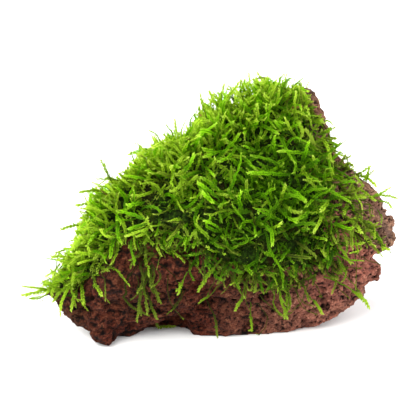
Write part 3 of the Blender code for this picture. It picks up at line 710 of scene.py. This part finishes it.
def sunny(points):
    """How far each point is in the upper left part of the moss, where its shoots get painted light."""
    left, top, _, _ = regions(points)
    x, _, z = points.T
    return np.maximum(np.maximum(left, 0.8 * top), (1 - ramp(x, -22, 16)) * ramp(z, 30, 46))


def lie_of(points):
    """The way the moss is combed at each point, as a vector to add to the surface's normal."""
    left, top, low, right = (share[:, None] for share in regions(points))
    way = np.array((0.0, -0.15, 0.3)) + left * np.array((-1.2, 0.0, -0.1))
    way = way + top * (1 - 0.6 * left) * np.array((0.0, 0.1, 1.2))
    way = way + low * (1 - 0.6 * left) * np.array((0.0, -0.5, -0.6))
    return way + right * np.array((0.6, -0.15, -0.75))


def grown_path(bed, root, way, length, pull, waver, proud, rng):
    """A shoot's centre line from its root to its tip. It is held off the stone, bends over where it stands
    proud of the cushion's form by more than the given height, and ends at the moss's upper edge or at
    LIMIT_REACH."""
    count = max(6, int(length / GROWTH_STEP) + 1)
    step = length / (count - 1)
    bend = rng.normal(0, waver, 3)
    slack = rng.exponential(1.6) - 1.6
    path = [root]
    for index in range(count - 1):
        if index % 4 == 3:
            bend = 0.5 * bend + rng.normal(0, waver, 3)
        way = unit(way + (pull + bend) * step)
        gap, outward = bed.gap_outside(path[-1])
        if gap > proud:
            way = unit(way - outward * (way.dot(outward) + 0.15))
        place = bed.held_off(path[-1] + way * step, CLEAR_OF_STONE)
        if (np.abs(place - LIMIT_CENTRE) > LIMIT_REACH).any() or bed.overtops(place, slack):
            break
        path.append(place)
    return np.array(path) if len(path) > 3 else None


class Shoots:
    """Leaves and stems gathered for one mesh."""

    def __init__(self):
        self.leaves = []
        self.stems = []

    def add(self, path, facing, palette, tint, leafy_from, scale, rng, stem_from=None, step=LEAF_STEP):
        """Adds a shoot. Its flat side looks the way of facing, tint is its lightness between painted deep
        shade and painted full light, its leaves start at leafy_from, and its stem shows from stem_from on, or
        not at all."""
        lengths = np.linalg.norm(np.diff(path, axis=0), axis=1)
        along = np.concatenate([[0.0], np.cumsum(lengths)])
        total = along[-1]
        first = total * leafy_from
        count = max(6, int((total - first) / (step * (0.4 + 0.6 * scale))))
        at = np.linspace(first, total, count)
        base = line_at(at, along, path)
        tangent = unit(line_at(at + 0.5, along, path) - line_at(at - 0.5, along, path))
        turn = np.linspace(0, rng.normal(0, 0.9), count)[:, None]
        across = unit(np.cross(tangent, facing))
        flat = unit(np.cross(across, tangent))
        cos, sin = np.cos(turn), np.sin(turn)
        across, flat = across * cos + flat * sin, flat * cos - across * sin
        row = np.arange(count) % 5
        phase = np.choose(row, (0.0, math.pi, 0.5 * math.pi, 0.12 * math.pi, 0.88 * math.pi))
        phase = phase + rng.normal(0, 0.16, count)
        share = (at - first) / max(total - first, 1e-6)
        near_tip = ramp(share, 0.82, 1.0)
        near_root = 1 - ramp(share, 0.0, 0.3)
        angle = LEAF_ANGLE * (1 - 0.3 * near_tip) + rng.normal(0, 0.09, count)
        size = scale * (1 - 0.1 * near_tip - 0.15 * near_root) * rng.uniform(0.82, 1.14, count)
        tint = np.clip(tint, 0.05, 0.95)
        tints = (palette + np.clip(tint + rng.normal(0, 0.045, count), 0.05, 0.95)) / PALETTES
        self.leaves.append(np.column_stack([base, tangent, across, flat, phase, angle, size, tints, share]))
        if stem_from is not None:
            colour = (palette + tint * 0.6) / PALETTES
            self.stems.append((path, facing, colour, along / total, stem_from, scale))

    def leaf_mesh_arrays(self, fine):
        """Points, triangles and map places of the leaves, with four triangles a leaf, or two if not fine."""
        data = np.vstack(self.leaves)
        base, tangent, across, flat = data[:, 0:3], data[:, 3:6], data[:, 6:9], data[:, 9:12]
        phase, angle, size, tint, share = data[:, 12:17].T
        cos, sin = np.cos(angle)[:, None], np.sin(angle)[:, None]
        aside, above = np.cos(phase)[:, None], np.sin(phase)[:, None]
        outward = across * aside + flat * above
        way = unit(tangent * cos + outward * sin)
        face = unit(flat * np.abs(aside) + (outward * cos - tangent * sin) * np.abs(above))
        wide = unit(np.cross(face, way))
        length = (LEAF_LENGTH * size)[:, None]
        width = (LEAF_WIDTH * size)[:, None]
        middle = base + way * length * 0.42
        left = middle + wide * width * 0.5 + face * width * 0.25
        right = middle - wide * width * 0.5 + face * width * 0.25
        tip = base + way * length - face * length * 0.06
        start = np.clip(share * 0.9, 0, 0.9)
        if fine:
            points = np.stack([base, left, middle, right, tip], axis=1)
            corners = np.array([(0, 2, 1), (0, 3, 2), (1, 2, 4), (2, 3, 4)])
            us = tint[:, None] + np.array([0.0, -0.003, 0.0, 0.003, 0.0])
            vs = start[:, None] + np.array([0.0, 0.03, 0.035, 0.03, 0.1])
        else:
            points = np.stack([base, left, right, tip], axis=1)
            corners = np.array([(0, 3, 1), (0, 2, 3)])
            us = tint[:, None] + np.array([0.0, -0.003, 0.003, 0.0])
            vs = start[:, None] + np.array([0.0, 0.03, 0.03, 0.1])
        per_leaf = points.shape[1]
        triangles = (np.arange(len(points)) * per_leaf)[:, None, None] + corners
        return points.reshape(-1, 3), triangles.reshape(-1, 3), np.column_stack([us.ravel(), vs.ravel()])

    def stem_arrays(self, first_vertex):
        """Points, triangles and map places of the stems, as tubes with three sides."""
        points, triangles, places = [], [], []
        for path, facing, colour, share, begin, scale in self.stems:
            keep = share >= begin - 1e-6
            path, share = path[keep], share[keep]
            count = len(path)
            if count < 3:
                continue
            tangent = unit(np.gradient(path, axis=0))
            across = unit(np.cross(tangent, facing))
            flat = unit(np.cross(across, tangent))
            radius = (STEM_RADIUS * max(scale, 0.75) * (1 - 0.5 * share))[:, None]
            for turn in range(3):
                angle = turn * math.tau / 3 + 0.5
                points.append(path + radius * (across * math.cos(angle) + flat * math.sin(angle)))
                places.append(np.column_stack([np.full(count, colour) + 0.002 * turn, 0.02 + share * 0.5]))
            base = first_vertex + np.arange(count - 1)
            for turn in range(3):
                one, two = base + turn * count, base + (turn + 1) % 3 * count
                triangles.append(np.column_stack([one, two, two + 1]))
                triangles.append(np.column_stack([one, two + 1, one + 1]))
            first_vertex += 3 * count
        if not points:
            return np.empty((0, 3)), np.empty((0, 3), int), np.empty((0, 2))
        return np.vstack(points), np.vstack(triangles), np.vstack(places)

    def mesh(self, name, fine):
        points, triangles, places = self.leaf_mesh_arrays(fine)
        more, tubes, spots = self.stem_arrays(len(points))
        points = np.vstack([points, more])
        points[:, 2] = np.maximum(points[:, 2], LOWEST_LEAF)
        triangles = np.vstack([triangles, tubes])
        places = np.vstack([places, spots])
        mesh = mesh_of(name, points, triangles)
        layer = mesh.uv_layers.new(name="OFBake")
        corner_points = np.empty(len(mesh.loops), np.int32)
        mesh.loops.foreach_get("vertex_index", corner_points)
        layer.data.foreach_set("uv", np.clip(places[corner_points], 0.0, 1.0).astype(np.float32).ravel())
        return mesh


# A place on the stone where a shoot may grow, with the cushion's depth there, how far it is in each region of
# the moss and in its sunny part, where shoots get painted light, and the way that the moss is combed
Site = namedtuple("Site", "point normal depth left top low right bright lie")


def proud_of(site, rng):
    """How far a shoot may stand out of the cushion's form before it bends over."""
    return rng.uniform(0.6, 3.0) + rng.uniform(0.0, 4.0) * site.left + rng.uniform(1.0, 5.0) * site.top


def palette_of(bright, low, right, rng):
    """The colours of a shoot: pale in the sunny part, and olive at the lower edge and the right."""
    if rng.random() < 0.005:
        return BROWN
    if rng.random() < max(0.68 * right, 0.45 * low):
        return OLIVE
    return LIGHT if rng.random() < 0.05 + 0.87 * max(bright, right) else GREEN


def grown_layer(bed, spacing, add_shoot, rng):
    """A layer of shoots with their roots about spacing apart. add_shoot adds the one that grows at a site, if
    any does."""
    shoots = Shoots()
    points, normals, depths = bed.roots(spacing, rng)
    for site in zip(points, normals, depths, *regions(points), sunny(points), lie_of(points)):
        add_shoot(shoots, bed, Site(*site), rng)
    return shoots


def under_shoot(shoots, bed, site, rng):
    """A short shoot deep in the cushion, crowded, and coloured dark as painted shade."""
    if rng.random() < 0.95 * site.right + 0.2 * site.low:
        return
    way = unit(site.normal + site.lie * 0.6 + rng.normal(0, 0.5, 3))
    length = min(site.depth, 8.5) * rng.uniform(0.65, 0.95) + 1.0
    path = grown_path(bed, site.point, way, length, np.array((0, 0, -0.04)), 0.13, 0.0, rng)
    if path is None:
        return
    palette = palette_of(site.bright, site.low, site.right, rng)
    tint = 0.15 + rng.normal(0, 0.1) + 0.62 * site.bright
    shoots.add(path, rng.normal(0, 1, 3), palette, tint, 0.25, rng.uniform(0.8, 1.1), rng, step=0.3)


def middle_shoot(shoots, bed, site, rng):
    """A shoot that reaches the cushion's surface."""
    if rng.random() < max(0.95 * site.right, 0.52 * site.low):
        return
    way = unit(site.normal + site.lie * 0.5 + rng.normal(0, 0.4, 3))
    comb = unit(site.lie + rng.normal(0, 0.7, 3))
    length = min(site.depth, 7.5) + rng.uniform(1.5, 5.5) - 2.0 * site.low
    pull = comb * 0.1 + np.array((0, 0, -0.03 - 0.05 * site.low))
    proud = proud_of(site, rng) - 1.0
    path = grown_path(bed, site.point, way, length, pull, 0.13, proud, rng)
    if path is None:
        return
    palette = palette_of(site.bright, site.low, site.right, rng)
    tint = 0.25 + rng.normal(0, 0.11) - 0.08 * site.low + 0.68 * max(site.bright, 0.8 * site.right)
    facing = site.normal + rng.normal(0, 0.7, 3)
    covered = np.clip((site.depth - 3.5) / length, 0.15, 0.6)
    shoots.add(path, facing, palette, tint, covered, rng.uniform(0.65, 1.05), rng, stem_from=covered)


def upper_shoot(shoots, bed, site, rng):
    """A long shoot that stands out of the cushion, curls over it and catches the light, its colour painted
    lighter than the shoots below.
    """
    if rng.random() < max(0.96 * site.right, 0.7 * site.low):
        return
    way = unit(site.normal * 0.9 + site.lie * 0.6 + rng.normal(0, 0.4, 3))
    comb = unit(site.lie + rng.normal(0, 0.8, 3))
    length = min(site.depth, 7.0) + rng.uniform(6.0, 14.0) - 3.0 * site.low
    pull = comb * 0.16 + np.array((0, 0, -0.03 - 0.05 * site.low))
    path = grown_path(bed, site.point, way, length, pull, 0.2, proud_of(site, rng), rng)
    if path is None:
        return
    palette = palette_of(site.bright, site.low, site.right, rng)
    tint = 0.42 + rng.normal(0, 0.14) - 0.12 * site.low + 0.62 * max(site.bright, 0.75 * site.right)
    facing = site.normal + rng.normal(0, 0.6, 3)
    covered = np.clip((min(site.depth, 7.0) - 2.5) / length, 0.15, 0.5)
    shoots.add(path, facing, palette, tint, covered, rng.uniform(0.82, 1.25), rng, stem_from=covered)


def crest_shoot(shoots, bed, site, rng):
    """One of the crowded shoots, upright along the crest and combed down on the left flank."""
    if rng.random() > max(site.top, 0.8 * site.left) * (1 - site.right):
        return
    way = unit(site.normal * 0.6 + site.lie * 0.8 + rng.normal(0, 0.25, 3))
    length = min(site.depth, 7.0) + rng.uniform(3.5, 8.5) + 3.0 * site.left
    pull = unit(site.lie + rng.normal(0, 0.4, 3)) * 0.12
    path = grown_path(bed, site.point, way, length, pull, 0.13, proud_of(site, rng), rng)
    if path is None:
        return
    palette = palette_of(site.bright, 0.0, 0.0, rng)
    # Painted light: crest shoots are coloured towards full light
    tint = 0.84 + rng.normal(0, 0.15)
    facing = np.array((0.0, -1.0, 0.2)) + rng.normal(0, 0.7, 3)
    shoots.add(path, facing, palette, tint, 0.35, rng.uniform(0.7, 1.1), rng, stem_from=0.3)


def ridge_shoot(shoots, bed, site, rng):
    """A thin pale shoot over the bare stone of the right shoulder."""
    if rng.random() > 0.9 * site.right:
        return
    comb = unit(np.array((0.5, -0.3, -0.5)) + rng.normal(0, 0.6, 3))
    way = unit(site.normal * 0.8 + comb * 0.7)
    proud = rng.uniform(-1.0, 1.5)
    path = grown_path(bed, site.point, way, rng.uniform(5.0, 13.0), comb * 0.15, 0.16, proud, rng)
    if path is None:
        return
    palette = (OLIVE, OLIVE, OLIVE, GREEN, LIGHT, LIGHT)[rng.integers(6)]
    tint = 0.72 + rng.normal(0, 0.22)
    facing = site.normal + rng.normal(0, 0.6, 3)
    shoots.add(path, facing, palette, tint, 0.3, rng.uniform(0.6, 1.05), rng, stem_from=0.0)


def trailing_shoot(shoots, bed, site, rng):
    """A darker shoot, bare for part of its stem, that hangs from the cushion's lower edge over the stone."""
    if rng.random() > 0.4 * site.low:
        return
    way = unit(site.normal * 0.5 + np.array((0.0, -0.5, -0.9)) + rng.normal(0, 0.45, 3))
    length = rng.uniform(4.0, 14.0)
    path = grown_path(bed, site.point, way, length, np.array((0, 0, -0.06)), 0.16, 3.0, rng)
    if path is None:
        return
    palette = OLIVE if rng.random() < 0.7 else GREEN
    tint = 0.32 + rng.normal(0, 0.18)
    facing = site.normal + rng.normal(0, 0.6, 3)
    bare = rng.uniform(0.3, 0.8)
    step = LEAF_STEP * rng.uniform(1.0, 1.6)
    shoots.add(path, facing, palette, tint, bare, rng.uniform(0.4, 0.75), rng, stem_from=0.0, step=step)


def drawn_path(place_at, pixels, bed, rng):
    """A line through the places that place_at finds for these pixels, a little smoothed and roughened."""
    places = []
    depth = 0.0
    for share, pixel in zip(np.linspace(0, 1, len(pixels)), pixels):
        place = place_at(pixel, share, depth)
        depth = place[1]
        places.append(place)
    line = line_at(np.linspace(0, 1, STRAND_POINTS), np.linspace(0, 1, len(places)), np.array(places))
    for _ in range(3):
        line[1:-1] = (line[:-2] + line[1:-1] * 2 + line[2:]) / 4
    line = line + rng.normal(0, 0.08, line.shape)
    path = np.array([bed.held_off(place, STRAND_CLEARANCE) for place in line])
    path[:, 2] = np.clip(path[:, 2], *STRAND_HEIGHTS)
    return path


def facing_front(rng):
    return np.array((0.0, -1.0, 0.5)) + rng.normal(0, 0.3, 3)


def single_strands(bed, rng):
    """The strands and tufts that stand clear of the others, each where the photograph shows it."""
    shoots = Shoots()
    for strands, place_at in ((STONE_STRANDS, bed.over_stone), (MOSS_STRANDS, bed.over_moss)):
        for palette, tint, width, bare, *pixels in strands.values():
            path = drawn_path(place_at, pixels, bed, rng)
            shoots.add(path, facing_front(rng), palette, tint, bare, width * STRAND_WIDTH, rng, stem_from=0.0)
    for palette, tint, count, root, tip, spread in HANGING_TUFTS.values():
        for _ in range(count):
            start = np.array(root) + rng.normal(0, 0.25 * spread, 2)
            end = np.array(tip) + rng.normal(0, 0.6 * spread, 2)
            end = start + (end - start) * rng.uniform(0.55, 1.1)
            bow = (end - start)[::-1] * (1, -1) * rng.normal(0, 0.2)
            pixels = [start, start * 0.6 + end * 0.4 + bow, start * 0.25 + end * 0.75 + bow, end]
            path = drawn_path(bed.over_stone, pixels, bed, rng)
            shown = tint + rng.normal(0, 0.12)
            bare = rng.uniform(0.1, 0.5)
            facing = facing_front(rng)
            shoots.add(path, facing, palette, shown, bare, rng.uniform(0.55, 0.95), rng, stem_from=0.0)
    return shoots


def fringe_layer(bed, rng):
    """The fringe of olive shoots and thin bare stems that hang over the stone's front."""
    shoots = Shoots()
    for _ in range(FRINGE_COUNT):
        x = rng.uniform(FRINGE_X[0], FRINGE_X[-1])
        y = np.interp(x, FRINGE_X, FRINGE_Y) + rng.uniform(-10, 3)
        turn = rng.normal(0, 0.75) - 0.15 * (x < 200) + 0.35 * (x > 300)
        curl = rng.normal(0, 1.2)
        bare = rng.random() < 0.5
        length = rng.uniform(12, 32) * (1.4 if bare else 1.0)
        pixels = [(x, y)]
        for _ in range(4):
            x += math.sin(turn) * length / 4
            y += math.cos(turn) * length / 4
            turn += curl / 4
            pixels.append((x, y))
        path = drawn_path(bed.over_stone, pixels, bed, rng)
        palette = OLIVE if bare or rng.random() < 0.7 else LIGHT
        tint = (0.5 if bare else 0.36) + rng.normal(0, 0.18)
        leafy_from = rng.uniform(0.7, 0.95) if bare else rng.uniform(0.1, 0.5)
        scale = rng.uniform(0.35, 0.55) if bare else rng.uniform(0.45, 0.85)
        shoots.add(path, facing_front(rng), palette, tint, leafy_from, scale, rng, stem_from=0.0)
    return shoots


def felt(bed):
    """The dark mat of old stems right on the stone; its near-black colour is partly painted shade deep in the
    cushion.
    """
    spots, normals = bed.points, bed.smoothed
    depths = np.array([bed.depth_above(p, n) for p, n in zip(spots, normals)])
    neighbours = np.zeros(len(depths))
    counts = np.zeros(len(depths))
    for a, b in ((0, 1), (1, 2), (2, 0)):
        np.add.at(neighbours, bed.faces[:, a], depths[bed.faces[:, b]])
        np.add.at(counts, bed.faces[:, a], 1)
    depths = (depths + neighbours / np.maximum(counts, 1)) / 2
    _, _, _, right = regions(spots)
    thick = np.clip(depths - FELT_DEPTH, 0, FELT_DEPTH) / FELT_DEPTH * (1 - right)
    thick = thick * ~below_edge(spots, normals)
    rise = -0.9 + thick * 2.8 + 0.8 * noise_at(spots, (1.3, 1.3, 1.3), 3.3) * thick
    points = spots + normals * rise[:, None]
    shown = (rise[bed.faces] > -0.8).any(axis=1)
    used, faces = np.unique(bed.faces[shown], return_inverse=True)
    return mesh_of("moss_felt_and_painted_shade", points[used], faces.reshape(-1, 3))


def add_moss(stone_node, stone_mesh, cushion_node):
    bed = Bed(stone_node.data, stone_mesh, cushion_node.data)
    rng = np.random.default_rng(MOSS_SEED)
    moss = moss_material()
    grown = (
        ("moss_under", under_shoot, UNDER_SPACING, False),
        ("moss_middle", middle_shoot, MIDDLE_SPACING, False),
        ("moss_upper", upper_shoot, UPPER_SPACING, True),
        ("moss_crest", crest_shoot, CREST_SPACING, False),
        ("moss_ridge", ridge_shoot, RIDGE_SPACING, True),
        ("moss_trailing", trailing_shoot, TRAILING_SPACING, True),
    )
    add_piece("moss_felt_and_painted_shade", felt(bed), felt_and_shade_material(), "moss", "moss_cushion")
    for name, add_shoot, spacing, fine in grown:
        layer = grown_layer(bed, spacing, add_shoot, rng)
        add_piece(name, layer.mesh(name, fine), moss, "moss", "moss_cushion")
    for name, draw in (("moss_fringe", fringe_layer), ("moss_strands", single_strands)):
        add_piece(name, draw(bed, rng).mesh(name, True), moss, "moss", "moss_cushion")


def add_camera():
    data = bpy.data.cameras.new("camera")
    data.lens = VIEW_LENS
    data.sensor_width = SENSOR
    data.clip_start = 0.01
    data.clip_end = 50.0
    camera = bpy.data.objects.new("camera", data)
    bpy.context.scene.collection.objects.link(camera)
    tilt = math.radians(VIEW_ELEVATION)
    away = VIEW_WIDTH * VIEW_LENS / SENSOR
    back = Vector((0.0, -math.cos(tilt), math.sin(tilt))) * away
    camera.location = (Vector(VIEW_CENTRE) + back) * MM
    camera.rotation_euler = (math.pi / 2 - tilt, 0.0, 0.0)
    bpy.context.scene.camera = camera


def add_area_light(name, place, size, power, colour):
    data = bpy.data.lights.new(name, "AREA")
    data.shape = "DISK"
    data.size = size
    data.energy = power
    data.color = colour
    light = bpy.data.objects.new(name, data)
    bpy.context.scene.collection.objects.link(light)
    light.location = place
    aim = Vector((0.0, 0.0, 0.035)) - Vector(place)
    light.rotation_euler = aim.to_track_quat("-Z", "Y").to_euler()


def add_stage():
    floor = bmesh.new()
    bmesh.ops.create_grid(floor, x_segments=1, y_segments=1, size=40.0)
    mesh = bpy.data.meshes.new("floor")
    floor.to_mesh(mesh)
    floor.free()
    n = Nodes("pale_floor")
    shader = n.add("BsdfPrincipled", {"Base Color": (0.9, 0.9, 0.9, 1.0), "Roughness": 0.9})
    n.set(n.output, "Surface", shader.outputs["BSDF"])
    mesh.materials.append(n.material)
    piece = bpy.data.objects.new("floor", mesh)
    bpy.context.scene.collection.objects.link(piece)

    world = bpy.data.worlds.new("studio")
    bpy.context.scene.world = world
    world.use_nodes = True
    background = world.node_tree.nodes["Background"]
    background.inputs["Color"].default_value = (1.0, 1.0, 1.0, 1.0)
    background.inputs["Strength"].default_value = 1.0
    add_area_light("key", (-0.5, -0.3, 0.8), 1.3, 19.0, (1.0, 0.99, 0.96))
    add_area_light("back", (-0.6, 0.5, 0.45), 0.4, 5.0, (1.0, 1.0, 0.95))
    add_area_light("fill", (0.7, -0.2, 0.5), 0.8, 6.0, (1.0, 1.0, 1.0))
    view = bpy.context.scene.view_settings
    view.view_transform = "Standard"
    view.look = "None"


def main():
    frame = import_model()
    nodes = frame["nodes"]
    surface = stone_surface(nodes["lava_stone"])
    add_piece("stone_surface", surface, lava_material(), "stone", "lava_stone")
    add_moss(nodes["lava_stone"], surface, nodes["moss_cushion"])
    add_camera()
    add_stage()


main()
